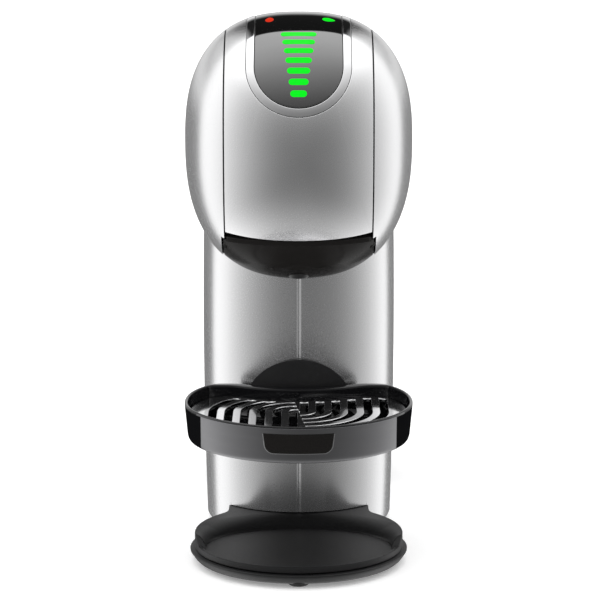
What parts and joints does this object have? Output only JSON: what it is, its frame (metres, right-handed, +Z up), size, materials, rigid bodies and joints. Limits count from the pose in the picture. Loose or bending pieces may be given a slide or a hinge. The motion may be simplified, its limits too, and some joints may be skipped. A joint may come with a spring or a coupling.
{
  "type": "pod coffee machine",
  "caption": "Compact capsule coffee machine with an egg-shaped head that opens, a height-adjustable drip tray, a round base and a lift-off rear water tank.",
  "frame": {"origin": "middle of the footprint's bounding box, on the surface the machine stands on", "axes": "+Z up, +Y towards the rear with the water tank, -Y towards the user, +X to the user's right"},
  "size_m": [0.1138, 0.286, 0.2713],
  "materials": {
    "silver": "satin silver metallic paint",
    "trim": "polished",
    "band": "satin",
    "black_gloss": "glossy",
    "black_plastic": "satin",
    "base_plastic": "fine grain",
    "rubber": "matte",
    "tank": "clear smoked",
    "green_light": "lit",
    "red_light": "lit",
    "aluminium": "cast",
    "steel": "ground",
    "coil": "lacquered",
    "board": "solder mask",
    "silicone": "translucent",
    "white_plastic": "satin"
  },
  "bodies": {
    "housing": {"base_plate": "base_plastic", "base_dish": "base_plastic", "foot_front": "rubber", "foot_left": "rubber", "foot_right": "rubber", "foot_rear_left": "rubber", "foot_rear_right": "rubber", "column_shell": "silver", "rear_cover": "black_plastic", "rear_chassis": "black_plastic", "head_frame": "black_plastic", "head_shell_left": "silver", "head_shell_right": "silver", "top_cover": "silver", "hinge_pin": "steel", "cord_gland": "rubber", "tank_seat": "black_plastic", "thermoblock": "aluminium", "pump_body": "white_plastic", "pump_coil": "coil", "flow_meter": "white_plastic", "control_board": "board", "hose_tank": "silicone", "hose_pump": "silicone", "hose_heater": "silicone", "hose_needle": "silicone"},
    "visor": {"visor_shell": "silver", "trim_ring": "trim", "touch_panel": "black_gloss", "panel_board": "board", "level_bar_1": "green_light", "level_bar_2": "green_light", "level_bar_3": "green_light", "level_bar_4": "green_light", "level_bar_5": "green_light", "level_bar_6": "green_light", "level_bar_7": "green_light", "icon_hot": "red_light", "icon_eco": "green_light"},
    "needle_carriage": {"needle_plate": "white_plastic", "needle": "steel"},
    "drawer": {"capsule_holder": "black_plastic", "outlet_nozzle": "black_plastic"},
    "tray": {"drip_tray": "black_gloss", "tray_band": "band", "tray_badge": "black_plastic", "tray_bracket": "black_plastic"},
    "grid": {"drip_grid": "trim"},
    "tank": {"tank_body": "tank"},
    "lid": {"tank_lid": "black_plastic"},
    "valve": {"tank_valve": "white_plastic"},
    "button": {"power_button": "black_gloss"}
  },
  "joints": [
    {"name": "visor_hinge", "type": "hinge", "parent": "housing", "child": "visor", "pos_m": [0, 0.005, 0.25], "axis": [-1, 0, 0], "range_deg": [0, 65]},
    {"name": "needle_lift", "type": "slide", "parent": "housing", "child": "needle_carriage", "axis": [0, 0, 1], "range_m": [0, 0.006]},
    {"name": "drawer_slide", "type": "slide", "parent": "housing", "child": "drawer", "axis": [0, -1, 0], "range_m": [0, 0.085]},
    {"name": "tray_height", "type": "slide", "parent": "housing", "child": "tray", "axis": [0, 0, 1], "range_m": [-0.045, 0]},
    {"name": "grid_lift", "type": "slide", "parent": "tray", "child": "grid", "axis": [0, 0, 1], "range_m": [0, 0.05]},
    {"name": "tank_lift", "type": "slide", "parent": "housing", "child": "tank", "axis": [0, 0, 1], "range_m": [0, 0.24]},
    {"name": "lid_hinge", "type": "hinge", "parent": "tank", "child": "lid", "pos_m": [0, 0.143, 0.228], "axis": [-1, 0, 0], "range_deg": [0, 95]},
    {"name": "valve_lift", "type": "slide", "parent": "tank", "child": "valve", "axis": [0, 0, 1], "range_m": [0, 0.003], "stiffness_N_per_m": 300},
    {"name": "button_press", "type": "slide", "parent": "housing", "child": "button", "axis": [0, -0.2299, -0.9732], "range_m": [0, 0.0015], "stiffness_N_per_m": 500}
  ],
  "couplings": [
    {"joint": "needle_lift", "follows": "visor_hinge", "m_per_rad": 0.0052}
  ]
}
